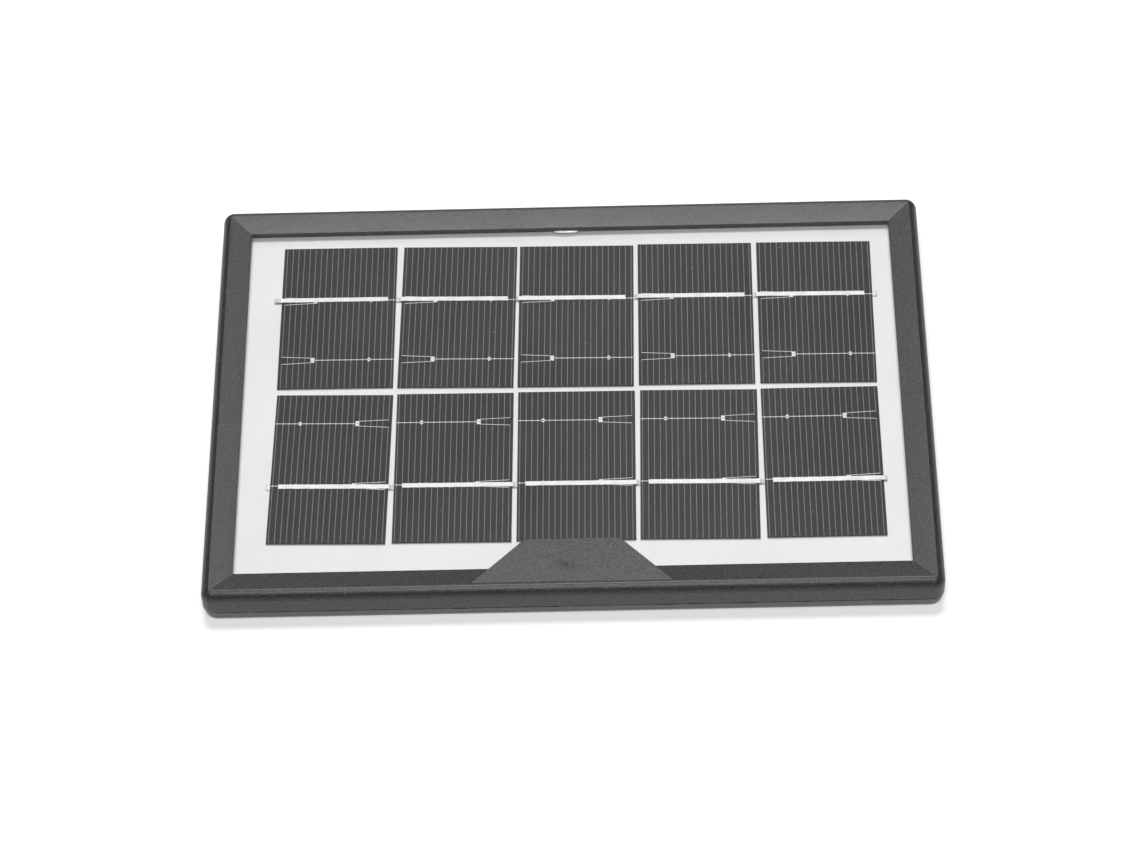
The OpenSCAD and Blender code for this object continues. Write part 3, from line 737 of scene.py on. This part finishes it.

# Front frame. One black moulding with a mitred bevel, a rounded shoulder and a blank tab.
# It is moulded in a fine-grained tool, and its rounded edges are painted a lighter grey than its
# faces, a painted highlight along the ridges and mitres.
RIDGE_INSET = 1.95 * MM
BEVEL_WIDTH = 5.2 * MM
BEVEL_DROP = 1.05 * MM
SHOULDER = 2.6 * MM
# The shoulder's rounding stops just short of the corners' own radius
SHOULDER_ROUND = 0.998 * SHOULDER
LIP = 1.2 * MM
WALL = 2 * MM
BOARD_CLEARANCE = 0.3 * MM
TAB_INNER_HALF = 11 * MM
TAB_BASE_HALF = 23.5 * MM
TAB_REACH = 7.5 * MM
TAB_RECESS = 0.15 * MM
TAB_CORNER = 1.26 * MM
INLET_DEPTH = 4 * MM
GROMMET_CLEARANCE = 0.1 * MM
COLLAR_STEP = 0.55 * MM
EDGE_ROUND = 0.13 * MM
# Flatter edges than the first aren't rounded, and flatter ones than the second are shaded over
EDGE_ANGLE = math.radians(12)
SMOOTH_ANGLE = math.radians(10)
# How far a cutting tool reaches past the moulding
OVER = 1 * MM
# A dull mark on the tab, where it was rubbed
MARK_PLACE = (-1.2 * MM, -50.6 * MM)
MARK_SIZE = (3.6 * MM, 1.8 * MM, 3 * MM)
MARK_TURN = math.radians(-18)
MARK_DULLNESS = 0.45

frame_low, frame_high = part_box("front_frame")
half_length, half_width = frame_high.x, frame_high.y
top = frame_high.z
window_x = half_length - RIDGE_INSET - BEVEL_WIDTH
window_y = half_width - RIDGE_INSET - BEVEL_WIDTH
window_z = top - BEVEL_DROP
lip_z = window_z - LIP
shoulder_rise = math.sqrt(SHOULDER ** 2 - (SHOULDER - RIDGE_INSET) ** 2)
crown = top - shoulder_rise + SHOULDER


def rod(name, start, end, radius):
    """A round bar between two points."""
    deselect()
    start, end = Vector(start), Vector(end)
    bpy.ops.mesh.primitive_cylinder_add(
        vertices=48, radius=radius, depth=(end - start).length, location=(start + end) / 2,
        rotation=(end - start).to_track_quat("Z", "Y").to_euler())
    piece = bpy.context.object
    piece.name = name
    settle()
    return piece


def level_at(height):
    """Picks what lies level at a height."""
    return lambda part: all(abs(vertex.co.z - height) < SAME for vertex in part.verts)


def combine(piece, tool, operation):
    """Adds a tool's shape to a piece or cuts it away, and deletes the tool."""
    pick(piece)
    joining = piece.modifiers.new("combine", "BOOLEAN")
    joining.operation = operation
    joining.solver = "EXACT"
    joining.object = tool
    bpy.ops.object.modifier_apply(modifier=joining.name)
    bpy.data.objects.remove(tool)


moulding = block("frame_moulding", (-half_length, -half_width, frame_low.z),
                 (half_length, half_width, crown))
round_corners(moulding, SHOULDER, 14)
edit(moulding, "FACE", level_at(crown))
bpy.ops.mesh.region_to_loop()
bpy.ops.mesh.bevel(offset=SHOULDER_ROUND, segments=16, affect="EDGES")
leave_edit()

# The space above the bevel is a box whose top is widened until its sides have the bevel's slope
funnel_rise = BEVEL_DROP + OVER
funnel_run = funnel_rise * BEVEL_WIDTH / BEVEL_DROP
funnel = block("funnel", (-window_x, -window_y, window_z),
               (window_x, window_y, window_z + funnel_rise))
edit(funnel, "FACE", level_at(window_z + funnel_rise))
bpy.ops.transform.resize(
    value=((window_x + funnel_run) / window_x, (window_y + funnel_run) / window_y, 1))
leave_edit()
combine(moulding, funnel, "DIFFERENCE")
window = block("window", (-window_x, -window_y, 0), (window_x, window_y, crown))
combine(moulding, window, "DIFFERENCE")
seat_x = board_high.x + BOARD_CLEARANCE
seat_y = board_high.y + BOARD_CLEARANCE
combine(moulding, block("seat", (-seat_x, -seat_y, 0), (seat_x, seat_y, lip_z)), "DIFFERENCE")
combine(moulding, block("hollow", (WALL - half_length, WALL - half_width, 0),
                        (half_length - WALL, half_width - WALL, board_low.z)), "DIFFERENCE")

tab_inner = TAB_REACH - window_y
tab_root = RIDGE_INSET + TAB_RECESS - half_width
tab_middle = (tab_inner + tab_root) / 2
tab_top = top - TAB_RECESS
tab = block("tab", (-TAB_INNER_HALF, tab_root, lip_z), (TAB_INNER_HALF, tab_inner, tab_top))
edit(tab, "VERT", lambda vertex: vertex.co.y < tab_middle)
bpy.ops.transform.resize(value=(TAB_BASE_HALF / TAB_INNER_HALF, 1, 1))
leave_edit()
edit(tab, "EDGE", lambda edge: upright(edge) and edge.verts[0].co.y > tab_middle)
bpy.ops.mesh.bevel(offset=TAB_CORNER, segments=8, affect="EDGES")
leave_edit()
combine(moulding, tab, "UNION")

grommet_low, grommet_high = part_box("cable_grommet")
inlet = (grommet_low + grommet_high) / 2
collar = (grommet_high.x - grommet_low.x) / 2 + GROMMET_CLEARANCE
neck = collar - COLLAR_STEP
combine(moulding, rod("neck_hole", (inlet.x, half_width - INLET_DEPTH, inlet.z),
                      (inlet.x, half_width + OVER, inlet.z), neck), "DIFFERENCE")
combine(moulding, rod("collar_hole", (inlet.x, grommet_low.y - OVER, inlet.z),
                      (inlet.x, half_width - WALL, inlet.z), collar), "DIFFERENCE")

frame_plastic = moulded("black_frame_plastic", (0.034, 0.034, 0.035), 0.37, 2900, 0.3, 4.6, 1.5)
tree, surface, texture = parts(frame_plastic)
place = add(tree, "ShaderNodeTexCoord").outputs["Object"]
spot = add(tree, "ShaderNodeMapping",
           [("Vector", place), ("Location", (*MARK_PLACE, tab_top)),
            ("Rotation", (0, 0, MARK_TURN)), ("Scale", MARK_SIZE)], vector_type="TEXTURE")
halo = add(tree, "ShaderNodeTexGradient", [("Vector", spot.outputs["Vector"])],
           gradient_type="SPHERICAL")
worn = add(tree, "ShaderNodeTexNoise", [("Vector", place), ("Scale", 900.0), ("Detail", 2.0)])
mark = add(tree, "ShaderNodeMath",
           [(0, halo.outputs["Fac"]), (1, worn.outputs["Fac"])], operation="MULTIPLY")
duller = add(tree, "ShaderNodeMath",
             [(0, mark.outputs["Value"]), (1, MARK_DULLNESS)], operation="MULTIPLY")
marked = add(tree, "ShaderNodeMath",
             [(0, texture.outputs["Roughness"]), (1, duller.outputs["Value"])], operation="ADD")
tree.links.new(marked.outputs["Value"], surface.inputs["Roughness"])
# The lighter grey plastic for the rounded edges is a painted highlight
edge_highlight_plastic = moulded("frame_plastic_painted_edge_highlight", (0.062, 0.062, 0.063), 0.36, 2900, 0.2, 2.5, 1.5)
finish(moulding, "frame_plastic", [frame_plastic, edge_highlight_plastic], "front_frame")
pick(moulding)
rounding = moulding.modifiers.new("rounding", "BEVEL")
rounding.width = EDGE_ROUND
rounding.segments = 2
rounding.limit_method = "ANGLE"
rounding.angle_limit = EDGE_ANGLE
rounding.use_clamp_overlap = False
# The rounded edges take the lighter plastic, a painted highlight
rounding.material = 1
bpy.ops.object.modifier_apply(modifier=rounding.name)
bpy.ops.object.shade_smooth_by_angle(angle=SMOOTH_ANGLE)

# Frame glue. A clear line of glue under the frame's lip, squeezed out in a drop at one spot
# and in a thin smear at another. Both are painted near white, a painted highlight on the clear
# glue.
DROP_WAVER = 0.02 * MM
repaint(clear, "clear_glue", "laminate_adhesive")
# The drop's and the smear's near-white colour is a painted highlight on clear glue
glue_painted_highlight = cloudy("glue_drop_painted_highlight", (0.9, 0.9, 0.9), (0.99, 0.99, 0.99), 400, 0.08)
_, surface, _ = parts(glue_painted_highlight)
surface.inputs["Alpha"].default_value = 0.95


def drop(name, middle, half_sizes, seed):
    """A flat drop of set glue."""
    deselect()
    bpy.ops.mesh.primitive_uv_sphere_add(segments=32, ring_count=16, radius=1)
    piece = bpy.context.object
    piece.name = name
    piece.scale = half_sizes
    piece.location = middle
    settle()
    edit(piece, "VERT", lambda vertex: True)
    bpy.ops.transform.vertex_random(offset=DROP_WAVER, uniform=0.3, normal=1, seed=seed)
    leave_edit()
    bpy.ops.object.shade_smooth()
    finish(piece, "clear_glue", [glue_painted_highlight])


drop("glue_drop", (-0.9 * MM, window_y - 0.1 * MM, sheet_high.z + 0.06 * MM),
     (3.1 * MM, 0.5 * MM, 0.16 * MM), 3)
drop("glue_smear", (-33 * MM, -window_y + 0.05 * MM, sheet_high.z + 0.02 * MM),
     (2.2 * MM, 0.3 * MM, 0.06 * MM), 5)

# Seam glue. A dark glue holds the frame's wall to the cover, and was squeezed out of the seam
# as a thin, uneven bead.
BEAD_RADIUS = 0.1 * MM
BEAD_INSET = 0.19 * MM
BEAD_DROP = 0.26 * MM
BEAD_WAVER = 0.03 * MM
# Edges longer than this are the bead's straight sides, and each is cut this often
STRAIGHT = 10 * MM
CUTS = 160
# The bead's thickness drifts along it, with a finer drift on top, between two limits
DRIFT = 330
FINE_DRIFT = 900
FINE_SHARE = 0.6
THINNEST = -0.4
THICKEST = 0.55
bead_x, bead_y = half_length - BEAD_INSET, half_width - BEAD_INSET
bead = block("seam_bead", (-bead_x, -bead_y, frame_low.z - OVER),
             (bead_x, bead_y, frame_low.z - BEAD_DROP))
round_corners(bead, SHOULDER, 12)
edit(bead, "FACE", lambda face: face.normal.z < 0.5)
bpy.ops.mesh.delete(type="FACE")
leave_edit()
edit(bead, "FACE", lambda face: True)
bpy.ops.mesh.delete(type="ONLY_FACE")
leave_edit()
edit(bead, "EDGE", lambda edge: edge.calc_length() > STRAIGHT)
bpy.ops.mesh.subdivide(number_cuts=CUTS)
bpy.ops.mesh.select_all(action="SELECT")
bpy.ops.transform.vertex_random(offset=BEAD_WAVER, uniform=0.5, normal=0, seed=11)
leave_edit()
bpy.ops.object.convert(target="CURVE")
bead.data.bevel_depth = BEAD_RADIUS
bead.data.bevel_resolution = 1
for spline in bead.data.splines:
    for point in spline.points:
        here = Vector(point.co[:3])
        wander = noise.noise(here * DRIFT) + FINE_SHARE * noise.noise(here * FINE_DRIFT)
        point.radius = 0.9 + 1.2 * min(max(THINNEST, wander), THICKEST)
bpy.ops.object.convert(target="MESH")
bpy.ops.object.shade_smooth()
seam_glue = moulded("dark_seam_glue", (0.012, 0.012, 0.012), 0.9, 900, 0.5, 0.3, 0)
_, surface, _ = parts(seam_glue)
surface.inputs["Specular IOR Level"].default_value = 0.1
finish(bead, "seam_glue", [seam_glue], "seam_adhesive")
